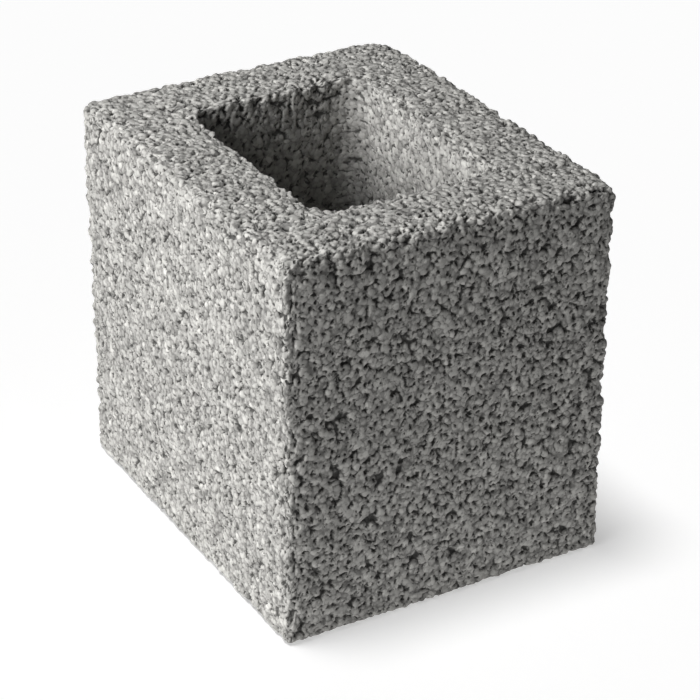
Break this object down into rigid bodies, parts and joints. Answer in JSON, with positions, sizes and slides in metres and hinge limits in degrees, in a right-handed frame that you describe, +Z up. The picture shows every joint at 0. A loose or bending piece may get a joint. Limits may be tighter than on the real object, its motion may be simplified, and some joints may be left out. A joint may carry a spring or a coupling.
{
  "type": "hollow concrete block",
  "caption": "Rectangular hollow concrete building block with a tapering core straight through it, slightly rounded arrises and a rough, open aggregate texture.",
  "frame": {"origin": "middle of the bottom bed face", "axes": "+Z up through the core, +Y along the block's length, +X across its width; the face seen in shade in the picture is -Y and the face seen lit is -X"},
  "size_m": [0.19, 0.23, 0.215],
  "materials": {
    "concrete": "rough, open-textured, uncoated grey concrete"
  },
  "bodies": {
    "root": {"hollow_block": "concrete"}
  },
  "joints": []
}
